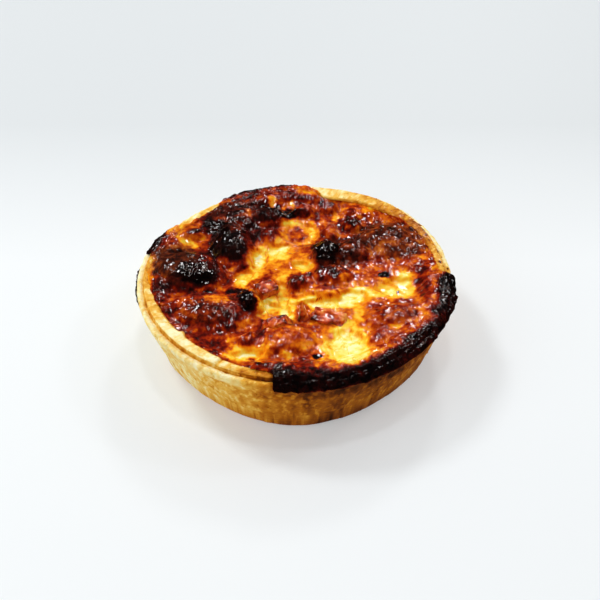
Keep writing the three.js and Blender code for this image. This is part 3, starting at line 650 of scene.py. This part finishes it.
def makeCustardMaterial():
    # baked egg custard under its browned, oily skin: matt yellow inside, glassy where butter stands on it
    material, tree = newMaterial("baked_custard_oiled")
    browning = addNode(tree, "ShaderNodeAttribute", {"attribute_name": "browning"}).outputs["Fac"]
    dry = addNode(tree, "ShaderNodeAttribute", {"attribute_name": "dry"}).outputs["Fac"]
    gloss = addNode(tree, "ShaderNodeAttribute", {"attribute_name": "gloss"}).outputs["Fac"]
    place = addNode(tree, "ShaderNodeTexCoord").outputs["Object"]
    # flecks of 2 mm, strongest on half browned skin
    fleck = addNode(tree, "ShaderNodeTexNoise", Vector=place, Scale=500.0, Detail=2.5, Roughness=0.55)
    rising = addNode(tree, "ShaderNodeMapRange", Value=browning, i1=0.05, i2=0.45, i3=0.08, i4=0.40)
    falling = addNode(tree, "ShaderNodeMapRange", Value=browning, i1=0.72, i2=0.97, i3=0.40, i4=0.16)
    swing = addNode(tree, "ShaderNodeMath", {"operation": "MINIMUM"}, i0=rising, i1=falling)
    shift = addNode(tree, "ShaderNodeMath", {"operation": "MULTIPLY_ADD"}, i0=fleck, i1=swing, i2=browning)
    half = addNode(tree, "ShaderNodeMath", {"operation": "MULTIPLY"}, i0=swing, i1=0.5)
    shade = addNode(tree, "ShaderNodeMath", {"operation": "SUBTRACT"}, i0=shift, i1=half)
    oily = addNode(tree, "ShaderNodeValToRGB", Fac=shade)
    setStops(oily.color_ramp, [
        (0.0, "#fff8c6"), (0.06, "#ffee8c"), (0.15, "#ffd442"), (0.26, "#f8a81a"), (0.36, "#ea800c"),
        (0.47, "#c95508"), (0.58, "#a02e06"), (0.68, "#781606"), (0.78, "#4e0c06"), (0.88, "#260806"),
        (1.0, "#080303"),
    ])
    crust = addNode(tree, "ShaderNodeValToRGB", Fac=shade)
    setStops(crust.color_ramp, [
        (0.0, "#f8ecae"), (0.2, "#e8b04c"), (0.4, "#c0701e"), (0.55, "#924212"), (0.68, "#64260e"),
        (0.8, "#3c140a"), (0.92, "#180806"), (1.0, "#080303"),
    ])
    colour = addNode(tree, "ShaderNodeMix", {"data_type": "RGBA"}, i0=dry, i6=oily, i7=crust).outputs[2]
    grain = addNode(tree, "ShaderNodeTexNoise", Vector=place, Scale=600.0, Detail=0.5)  # 1.7 mm wrinkles
    depth = addNode(tree, "ShaderNodeMapRange", Value=browning, i1=0.1, i2=0.6, i3=0.25, i4=1.0)
    bump = addNode(tree, "ShaderNodeBump", Height=grain, Strength=depth, Distance=0.00012)
    dull = addNode(tree, "ShaderNodeMapRange", Value=gloss, i1=0.0, i2=0.8, i3=0.9, i4=0.35)
    coat = addNode(tree, "ShaderNodeMath", {"operation": "MULTIPLY"}, i0=gloss, i1=0.9)
    shader = addNode(tree, "ShaderNodeBsdfPrincipled", Base_Color=colour, Roughness=dull, Normal=bump,
                     Specular_IOR_Level=0.02, Coat_Weight=coat, Coat_Roughness=0.05, Coat_Normal=bump,
                     Subsurface_Weight=0.4, Subsurface_Radius=(0.003, 0.0014, 0.0004), Subsurface_Scale=1.0)
    addNode(tree, "ShaderNodeOutputMaterial", Surface=shader)
    return material


custardMaterial = makeCustardMaterial()
makeFilling(custardMaterial)
print("filling ready")


def runPath():  # along the case from inside the filling: radius, height, and which way the run is thick
    return np.array([
        (ridgeInner - 2.2, case["height"] - 2.5, 0, 1), (ridgeInner - 0.8, case["height"] - 0.3, 0, 1),
        (ridgeInner + 0.5, case["height"] + 0.1, -0.2, 1), (ridgeOuter - 0.6, case["height"] + 0.1, 0.3, 1),
        (ridgeOuter + 0.2, case["height"] - 0.4, 0.6, 0.9), (case["rim"] - 0.8, lipTop + 0.1, 0.6, 0.9),
        (case["rim"] + 0.05, lipTop - 0.8, 0.9, 0.3), (case["rim"] - 0.05, lipTop - 2.2, 1, 0),
        (wallRadius(lipTop - 4.4) + 0.15, lipTop - 4.4, 1, 0),
    ])


def bakeRun(name, points, puffs, row, degrees):  # how brown, dry and glossy; row is 0 inside, 1 at its end
    base, dry = browningAt(points[:, 0], points[:, 1], points[:, 2])
    browning = browned(base, puffs, points)
    browning -= 0.14 * smooth(0.84, 1, row) * np.clip(0.6 + rough(points, 7, 3, 25), 0, 1)
    browning += 0.04 * smooth(-70, -40, degrees) * smooth(-2, -10, degrees)
    # burnt black at its front left corner
    corner = smooth(-88, -92, degrees) * smooth(-97.6, -97, degrees) * smooth(0.2, 0.35, row)
    browning = np.clip(mix(browning, 0.98, corner * 0.8), 0, 1)
    if name == "drip":
        browning = np.full_like(browning, 0.95)
    gloss = wetness(points, dry) * (1 - smooth(0.75, 0.92, row))
    gloss *= 1 - 0.75 * smooth(0.3, 0.5, row) * smooth(-45, -70, degrees)
    return browning, dry, gloss


def makeRun(name, run, material):
    path = runPath()
    length = np.concatenate([[0], np.cumsum(np.hypot(*np.diff(path[:, :2], axis=0).T))])
    first, last = run[0][0], run[-1][0]
    step = 0.35  # mm between columns
    columns = int(math.radians(last - first) * case["rim"] / step)
    rows = 46
    degrees = np.linspace(first, last, columns)
    line = flat(degrees * case["rim"] * math.pi / 180, np.zeros(columns))
    reach = readTable(degrees, run) + rough(line, 6, 4, 13) * 0.9 + rough(line, 2.2, 3, 15) * 0.5
    reach = np.maximum(reach, 0.8)
    row = np.linspace(0, 1, rows)
    if name == "drip":  # it clings to the lip's outer edge only, and thins out towards its ends
        begin = 10.7 + rough(line, 4, 3, 19) * 0.5
        along = begin + row[:, None] * np.maximum(reach - begin, 0.15)
    else:
        along = row[:, None] * reach
    r, z, dr, dz = [np.interp(along, length, path[:, k]) for k in range(4)]
    # thinner at both ends and where it stops
    ends = np.minimum(1, 0.3 + np.minimum(np.arange(columns), np.arange(columns)[::-1]) / 5)
    thick = np.minimum(0.55, 0.2 + 0.035 * reach) * ends * (1 - smooth(0.78, 1, row))[:, None]
    if name == "drip":
        thick *= 0.6 * smooth(0, 0.3, row)[:, None] * smooth(0.2, 1.2, reach - begin)
    wobble = rough(flat(along.ravel(), np.tile(degrees, rows)), 2, 2, 31).reshape(rows, columns) * 0.25
    a = np.radians(degrees + wobble)

    def laid(k):  # the run's points, k mm off the case
        out = np.stack([(r + dr * k) * np.cos(a), (r + dr * k) * np.sin(a), z + dz * k], axis=-1)
        return sagged(out.reshape(-1, 3))

    topPoints, lowPoints = laid(thick), laid(np.full_like(thick, -0.25))
    outward = topPoints - lowPoints
    outward /= np.maximum(np.linalg.norm(outward, axis=1), 0.05)[:, None]
    relief, puffs = skinRelief(topPoints, np.full(len(topPoints), 0.95))
    bumpy = (relief * 1.2 + 0.1 + 0.45 * rough(topPoints, 4, 3, 27)) * (thick.ravel() / 0.55)
    topPoints += outward * bumpy[:, None]
    browning, dry, gloss = bakeRun(name, topPoints, puffs, np.repeat(row, columns), np.tile(degrees, rows))

    faces = gridFaces(rows, columns, False)
    count = rows * columns
    rim = gridEdge(rows, columns)
    side = loopFaces(rim, rim + count)[:, ::-1]
    shell = np.vstack([faces[:, ::-1], faces + count, side])
    values = {"browning": np.tile(browning, 2), "dry": np.tile(dry, 2), "gloss": np.append(gloss, gloss * 0)}
    addPiece("run_" + name, np.vstack([topPoints, lowPoints]), shell, material, ["filling"],
             values, sharp=len(side))


for name, run in runs.items():
    makeRun(name, run, custardMaterial)
print("overrun custard ready")


def caseProfile():  # from the middle of the base round to the middle of the inner floor: radius, height
    foot = case["foot"]
    points = [(0, 0), (30, 0), (case["base"] - foot, 0)]
    for a in np.radians([22, 45, 68, 90]):
        z = foot * (1 - math.cos(a))
        points.append((wallRadius(z) - foot * (1 - math.sin(a)), z))
    points += [(wallRadius(z), z) for z in (8, 15, case["height"] - 7)]
    points += [
        (case["rim"] - 0.2, lipTop - 2.4), (case["rim"], lipTop - 1), (case["rim"] - 0.25, lipTop - 0.35),
        (case["rim"] - 0.7, lipTop - 0.05), (case["rim"] - 1.4, lipTop), (ridgeOuter + 0.5, lipTop - 0.3),
        (ridgeOuter + 0.1, lipTop - 0.4), (ridgeOuter - 0.05, lipTop),
        (ridgeOuter - 0.1, case["height"] - 0.4), (ridgeOuter - 0.25, case["height"] - 0.1),
        (ridgeOuter - 0.6, case["height"]),
        (ridgeInner + 0.8, case["height"]), (ridgeInner + 0.3, case["height"] - 0.2),
        (ridgeInner, case["height"] - 0.7), (ridgeInner - 0.6, case["height"] - 3.6),
        (case["base"] - case["wall"], case["floor"]), (0, case["floor"]),
    ]
    return np.array(points, float)


def resample(path, spacing):  # spacing(start, end) gives the step on each stretch
    out = [path[0]]
    for i in range(len(path) - 1):
        length = math.dist(path[i], path[i + 1])
        steps = max(1, round(length / spacing(path[i], path[i + 1])))
        out += [mix(path[i], path[i + 1], k / steps) for k in range(1, steps + 1)]
    return np.array(out)


def caseGrid():  # the case's points before any relief, in rings, and how many rings there are
    def spacing(start, end):  # mm: coarse under the case and inside it, where nothing shows
        if max(start[1], end[1]) < 0.01:
            return 15
        if start[0] < ridgeInner and end[1] < case["height"] - 3:
            return 12
        return 0.40 if max(start[1], end[1]) > 20 else 0.46

    profile = resample(caseProfile(), spacing)
    profile = profile[profile[:, 0] > 0.01]
    shape = (len(profile), case["columns"])
    a = np.linspace(0, 2 * math.pi, case["columns"], endpoint=False)
    r, z = profile[:, :1], profile[:, 1:]
    points = np.stack([r * np.cos(a), r * np.sin(a), np.broadcast_to(z, shape)], axis=-1)
    return points.reshape(-1, 3), len(profile)


def shapeCase(points, place, marks, outside):  # relief on the wall and the rim, the fold and the sags
    degrees, radius, height = place
    creases, cracks, split, fold = marks
    pits = smooth(0.4, 0.15, cells(points, 2.6, 12)[0])
    relief = rough(points, 9, 2, 91) * 0.3 + creases * 0.17 * mix(0.3, 1, smooth(2, 9, height))
    relief = outside * (relief - pits * 0.14 - cracks * 0.2)
    covered = smooth(-98.6, -97.6, degrees) * smooth(0, -1.5, degrees) * smooth(19, 21, height)
    relief -= 0.35 * covered  # kept under the custard that ran over it
    grainy = rough(points, 1.6, 2, 95) * 0.13 + rough(points, 9, 2, 97) * 0.14 - cracks * 0.3
    top = smooth(25, 26.2, height) * smooth(ridgeInner - 1, ridgeInner, radius)
    points[:, :2] *= (1 + relief / np.maximum(radius, 1))[:, None]
    points[:, 2] += top * (grainy - 0.3 * covered)

    leaning = fold * smooth(25.4, 27.2, height)
    leaning *= smooth(ridgeInner + case["ridge"] - 0.4, ridgeInner + 0.4, radius)
    points[:, :2] *= (1 - leaning / np.maximum(radius, 1))[:, None]
    points[:, 2] -= 0.15 * leaning
    notch = 0.8 * split + 0.45 * smooth(-117, -116, degrees) * smooth(-94, -98, degrees)
    points[:, 2] -= notch * smooth(26.8, 27.6, height)  # the ridge is split there, and lower beside it
    spur = np.exp(-((degrees + 138) / 1.3) ** 2)  # a flake that stands up
    spur *= smooth(ridgeInner + 1.6, ridgeInner + 0.3, radius)
    spur *= smooth(26, 27, height)
    points[:, 2] += spur
    points[:, :2] *= (1 - 0.016 * spur)[:, None]
    return sagged(points)


def bakeCase(points, streaked, place, marks):  # how brown and how glazed each point is
    degrees, radius, height = place
    creases, cracks, split, fold = marks
    # the wall's browning, darker towards the front and right partly as painted shade
    bake = readTable(degrees, case["wallBakeAndShade"])
    # darker towards the foot, and just below the run at the front right: grease, and painted shadow of the
    # run's overhang
    greaseAndShadeBelowRun = 0.2 * smooth(16, 22, height) * smooth(-96, -88, degrees) * smooth(0, -20, degrees)
    bake += 0.14 * smooth(5, 1, height) + greaseAndShadeBelowRun
    lip = smooth(21.5, 24.5, height + rough(points, 6, 2, 103) * 1.5)
    # the lip's colour, with painted shadow under the run at the front right
    bake = mix(bake, readTable(degrees, case["lipBakeAndShade"]), lip)
    # browned on the ridge and down its inner side; darker in the groove, partly its browning and partly
    # painted shade in the recess
    groove = np.exp(-((radius - (ridgeOuter + 0.1)) / 0.3) ** 2) * smooth(25, 26, height)
    groove *= smooth(28, 27.6, height) * (1 - 0.6 * smooth(-5, 5, degrees) * smooth(100, 80, degrees))
    glaze = readTable(degrees, case["glaze"]) + rough(points, 4, 3, 105) * 0.12
    onRidge = smooth(26.6, 27.4, height) * smooth(0, 0.6, ridgeOuter + 0.2 - radius)
    # how dark the groove is: stain, with painted shade in the recess
    stainAndShade = 0.36 + 0.08 * rough(points, 5, 2, 113)
    bake = mix(bake, glaze, onRidge) + 0.3 * split * onRidge + groove * stainAndShade
    inner = smooth(ridgeInner + 0.9, ridgeInner, radius) * smooth(20, 24, height)
    bake = mix(bake, 0.72 - 0.11 * np.minimum(fold, 2.4), inner * 0.8)
    bake += creases * 0.10 + rough(streaked, 7, 3, 99) * 0.08 + cracks * 0.14
    bake -= smooth(0.1, 0.5, rough(streaked, 1.5, 2, 107)) * 0.13  # floury specks
    y = laidFlat(points[:, 1], points[:, 2])
    for fleck in case["burntFlecks"]:
        spot = insideOval(points[:, 0], y, fleck)
        spot = smooth(0.1, 0.6, spot + (spot > 0) * 0.25 * rough(points, 1.0, 2, 117))
        bake = np.maximum(bake, 0.9 * spot * smooth(25, 26, height))
    return np.clip(bake, 0, 1), onRidge * smooth(0.3, 0.5, glaze)


def makeCase(material):
    points, rows = caseGrid()
    radius, height = np.hypot(points[:, 0], points[:, 1]), points[:, 2].copy()
    degrees = degreesAt(points[:, 0], points[:, 1])
    place = (degrees, radius, height)
    wall = wallRadius(np.minimum(height, case["wallTop"]))
    outside = smooth(-2, -0.5, radius - wall) * smooth(0.3, 2, height)
    streaked = points * np.array([1, 1, 0.4])  # creases run down the wall
    creases = rough(streaked, 2.8, 4, 101)
    near, second = cells(streaked + rough(points, 3, 2, 111)[:, None] * 0.9, 5.5, 8)
    cracks = smooth(0.10, 0.02, second - near) * smooth(-0.1, 0.35, rough(points, 8, 2, 109))
    split = np.exp(-((degrees + 117.3) / 0.6) ** 2)  # one wide crack through the ridge
    marks = (creases, cracks, split, readTable(degrees, case["foldedIn"]))
    points = shapeCase(points, place, marks, outside)
    bake, glazed = bakeCase(points, streaked, place, marks)

    crumbly = smooth(25, 26, height) * smooth(ridgeInner, ridgeInner + 1, radius) + 0.35 * outside
    crumbly *= smooth(0.1, 0.7, rough(points, 9, 2, 115) + 0.3)
    # no crumbs where custard covers the rim
    crumbly *= 1 - smooth(18, 21, height) * (1 - smooth(-98, -99.5, degrees) - smooth(0, 2, degrees))

    columns, count = case["columns"], len(points)
    last = (rows - 1) * columns
    points = np.vstack([points, [[0, 0, 0], [0, 0, case["floor"]]]])  # the middles of the base and the floor
    caps = [[count, (j + 1) % columns, j] for j in range(columns)]
    caps += [[count + 1, last + j, last + (j + 1) % columns] for j in range(columns)]
    faces = list(gridFaces(rows, columns, True)) + caps
    values = {"bake": np.append(bake, [0.6, 0.6]), "glaze": np.append(glazed, [0, 0]),
              "crumbly": np.append(crumbly, [0, 0])}
    addPiece("shortcrust_case", points, faces, material, ["pastry_case"], values)


def makePastryMaterial():
    # baked shortcrust: dry, floury and pale where thick, golden brown and a bit buttery where it took heat
    material, tree = newMaterial("shortcrust_baked")
    bake = addNode(tree, "ShaderNodeAttribute", {"attribute_name": "bake"}).outputs["Fac"]
    glaze = addNode(tree, "ShaderNodeAttribute", {"attribute_name": "glaze"}).outputs["Fac"]
    place = addNode(tree, "ShaderNodeTexCoord").outputs["Object"]
    squeeze = addNode(tree, "ShaderNodeMapping", Vector=place, Scale=(1, 1, 2.5))
    # speckles of 1.5 mm, flattened
    speckle = addNode(tree, "ShaderNodeTexNoise", Vector=squeeze, Scale=650.0, Detail=5.0, Roughness=0.65)
    shift = addNode(tree, "ShaderNodeMapRange", Value=speckle, i1=0.3, i2=0.7, i3=-0.05, i4=0.05)
    shade = addNode(tree, "ShaderNodeMath", {"operation": "ADD"}, i0=bake, i1=shift)
    colour = addNode(tree, "ShaderNodeValToRGB", Fac=shade)
    setStops(colour.color_ramp, [
        (0.0, "#faf2c8"), (0.16, "#f6df94"), (0.32, "#ecb74a"), (0.46, "#d48c22"), (0.60, "#b06204"),
        (0.74, "#803e02"), (0.88, "#502403"), (1.0, "#361804"),
    ])
    crumb = addNode(tree, "ShaderNodeTexNoise", Vector=place, Scale=2200.0, Detail=4.0)  # 0.45 mm
    bump = addNode(tree, "ShaderNodeBump", Height=crumb, Strength=0.5, Distance=0.0002)
    butter = addNode(tree, "ShaderNodeMath", {"operation": "MULTIPLY"}, i0=glaze, i1=0.12)
    shader = addNode(tree, "ShaderNodeBsdfPrincipled", Base_Color=colour, Roughness=0.7, Normal=bump,
                     Specular_IOR_Level=0.1, Coat_Weight=butter, Coat_Roughness=0.15,
                     Subsurface_Weight=0.1, Subsurface_Radius=(0.0018, 0.001, 0.0005), Subsurface_Scale=1.0)
    addNode(tree, "ShaderNodeOutputMaterial", Surface=shader)
    return material


pastryMaterial = makePastryMaterial()
makeCase(pastryMaterial)
print("case ready")


hams = {
    # size and middle in mm, turn about Z and lean in degrees, narrowing towards the top, roundness, how torn
    # it is, how seared, and the side that is seared most
    "ham_cube": ((8.6, 7, 6.4), (-11.2, -9.6, 25.3), 38, (10, 6), 0.1, 0.28, 0.4, 0.30, (0, 0, 0.14)),
    "ham_spike": ((4.8, 4.2, 10), (2.4, -24, 26), 15, (-12, 4), 0.72, 0.7, 0.4, 0.32, (-0.22, -0.1, -0.1)),
    "ham_strip": ((14, 6.4, 3.4), (12.2, -24.3, 25.3), -16, (26, 7), 0.1, 0.4, 1.1, 0.34,
                  (-0.14, -0.22, 0.02)),
    "ham_crest": ((13, 7.8, 7), (-6.6, -29.4, 26.4), 18, (16, -8), 0.5, 0.4, 0.5, 0.38, (0, 0.1, 0)),
}


def blockGrid(n):  # the skin of a cube from -1 to 1, with n by n squares on each side
    index, faces = {}, []
    for axis, far in itertools.product(range(3), (0, n)):
        for i, j in itertools.product(range(n), repeat=2):
            face = []
            for a, b in ((i, j), (i + 1, j), (i + 1, j + 1), (i, j + 1)):
                corner = [0, 0, 0]
                corner[axis], corner[(axis + 1) % 3], corner[(axis + 2) % 3] = far, a, b
                face.append(index.setdefault(tuple(corner), len(index)))
            faces.append(face if far else face[::-1])
    return np.array(list(index)) / n * 2 - 1, faces


def turned(points, axis, degrees):
    c, s = math.cos(math.radians(degrees)), math.sin(math.radians(degrees))
    i, j = (axis + 1) % 3, (axis + 2) % 3
    out = points.copy()
    out[:, i] = points[:, i] * c - points[:, j] * s
    out[:, j] = points[:, i] * s + points[:, j] * c
    return out


def makeHam(name, size, at, turn, lean, taper, roundness, torn, sear, hotSide, material):
    v, faces = blockGrid(24)
    corner = np.linalg.norm(v, axis=1)
    v = mix(v, v / corner[:, None] * 1.22, roundness)  # from a block towards a ball
    outward = v / np.linalg.norm(v, axis=1)[:, None]
    narrow = 1 - taper * (v[:, 2] + 1) / 2
    points = v * np.array(size) / 2
    points[:, :2] *= narrow[:, None]
    seed = int(abs(at[0]) * 10)
    fibre = points * np.array([0.4, 1, 1])  # the meat's grain runs along the block
    relief = rough(points, 4.2, 2, seed) * torn + rough(fibre, 2.0, 2, seed + 3) * 0.42
    wet = smooth(0.75, 0.35, np.hypot(v[:, 0] + 0.1, v[:, 1])) * (v[:, 2] > 0)
    relief *= 1 - 0.93 * wet  # smooth on top, where the fat stands
    points += outward * (relief - 0.3 * torn)[:, None]
    for axis, degrees in ((0, lean[0]), (1, lean[1]), (2, turn)):
        points = turned(points, axis, degrees)
    points += np.array(at)
    # seared colour, with painted shade: darker in its hollows and towards its underside
    searAndShade = sear + rough(points, 2.8, 3, seed + 5) * 0.32 - relief * 0.1 + 0.12 * smooth(1.25, 1.6, corner)
    searAndShade += 0.25 * smooth(0.2, -0.9, v[:, 2]) + v @ np.array(hotSide)
    addPiece(name + "_meat", points, faces, material, [name], {"sear": np.clip(searAndShade, 0, 1)})


def makeHamMaterial():
    # cooked ham, pink inside and seared orange-brown, wet with fat so that it glints
    material, tree = newMaterial("ham_seared")
    # sear holds the searing and the painted shade on each piece's underside and hollows
    sear = addNode(tree, "ShaderNodeAttribute", {"attribute_name": "sear"}).outputs["Fac"]
    place = addNode(tree, "ShaderNodeTexCoord").outputs["Object"]
    fibre = addNode(tree, "ShaderNodeTexNoise", Vector=place, Scale=900.0, Detail=4.0)  # 1.1 mm
    shift = addNode(tree, "ShaderNodeMapRange", Value=fibre, i1=0.3, i2=0.7, i3=-0.12, i4=0.12)
    shade = addNode(tree, "ShaderNodeMath", {"operation": "ADD"}, i0=sear, i1=shift)
    colour = addNode(tree, "ShaderNodeValToRGB", Fac=shade)
    setStops(colour.color_ramp, [
        (0.0, "#f2a650"), (0.22, "#e2701e"), (0.4, "#c8440c"), (0.56, "#982a07"), (0.72, "#541406"),
        (1.0, "#1c0906"),
    ])
    bump = addNode(tree, "ShaderNodeBump", Height=fibre, Strength=0.4, Distance=0.00006)
    shader = addNode(tree, "ShaderNodeBsdfPrincipled", Base_Color=colour, Roughness=0.35, Normal=bump,
                     Specular_IOR_Level=0.15, Coat_Weight=0.8, Coat_Roughness=0.05,
                     Subsurface_Weight=0.25, Subsurface_Radius=(0.003, 0.001, 0.0006), Subsurface_Scale=1.0)
    addNode(tree, "ShaderNodeOutputMaterial", Surface=shader)
    return material


hamMaterial = makeHamMaterial()
for name, ham in hams.items():
    makeHam(name, *ham, hamMaterial)
print("ham ready")


scatters = {
    # what it lies on, the number there that says where, how many on a square centimetre, smallest and
    # largest radius in mm, how flat it is, seed
    "crumbs": ("shortcrust_case", "crumbly", 14.0, 0.14, 0.42, 0.7, 4),
    "blisters": ("filling_skin", "blistered", 7.0, 0.22, 0.6, 0.5, 9),
}


def makeScatter(name, on, where, density, smallest, largest, flatness, seed, material, node, slot):
    tree = bpy.data.node_groups.new(name, "GeometryNodeTree")
    tree.interface.new_socket("Geometry", in_out="OUTPUT", socket_type="NodeSocketGeometry")
    tree.interface.new_socket("Geometry", in_out="INPUT", socket_type="NodeSocketGeometry")
    # in metres, and how many on a square metre
    values = {"Density": density * 1e4, "Smallest": smallest * mm, "Largest": largest * mm,
              "Flatness": flatness}
    sockets = {}
    for key in values:
        sockets[key] = tree.interface.new_socket(key, in_out="INPUT", socket_type="NodeSocketFloat")
    inputs = addNode(tree, "NodeGroupInput").outputs
    share = addNode(tree, "GeometryNodeInputNamedAttribute", {"data_type": "FLOAT"}, Name=where)
    many = addNode(tree, "ShaderNodeMath", {"operation": "MULTIPLY"}, i0=share, i1=inputs["Density"])
    places = addNode(tree, "GeometryNodeDistributePointsOnFaces", Mesh=inputs["Geometry"], Density=many,
                     Seed=seed).outputs
    radius = addNode(tree, "FunctionNodeRandomValue", i2=inputs["Smallest"], i3=inputs["Largest"],
                     Seed=seed).outputs[1]
    stretch = addNode(tree, "FunctionNodeRandomValue", i2=0.7, i3=1.4, Seed=seed + 1).outputs[1]
    long = addNode(tree, "ShaderNodeMath", {"operation": "MULTIPLY"}, i0=radius, i1=stretch)
    high = addNode(tree, "ShaderNodeMath", {"operation": "MULTIPLY"}, i0=radius, i1=inputs["Flatness"])
    scale = addNode(tree, "ShaderNodeCombineXYZ", X=long, Y=radius, Z=high)
    ball = addNode(tree, "GeometryNodeMeshUVSphere", Segments=8, Rings=5, Radius=1.0)
    put = addNode(tree, "GeometryNodeInstanceOnPoints", Points=places["Points"], Instance=ball,
                  Rotation=places["Rotation"], Scale=scale)
    real = addNode(tree, "GeometryNodeRealizeInstances", Geometry=put)
    coloured = addNode(tree, "GeometryNodeSetMaterial", Geometry=real, Material=material)
    addNode(tree, "NodeGroupOutput", Geometry=coloured)

    carrier = bpy.data.objects.new(name + "_carrier", bpy.data.objects[on].data.copy())
    bpy.context.collection.objects.link(carrier)
    modifier = carrier.modifiers.new(name, "NODES")
    modifier.node_group = tree
    for key, socket in sockets.items():
        modifier[socket.identifier] = values[key]
    mesh = bpy.data.meshes.new_from_object(carrier.evaluated_get(bpy.context.evaluated_depsgraph_get()))
    carrier.modifiers.remove(modifier)
    bpy.data.objects.remove(carrier)
    mesh.polygons.foreach_set("use_smooth", np.ones(len(mesh.polygons), bool))
    print(name, len(mesh.polygons), "faces")
    register(name, mesh, [node])


makeScatter("crumbs", *scatters["crumbs"], pastryMaterial, "pastry_case", "shortcrust")
makeScatter("blisters", *scatters["blisters"], custardMaterial, "filling", "browned_custard")
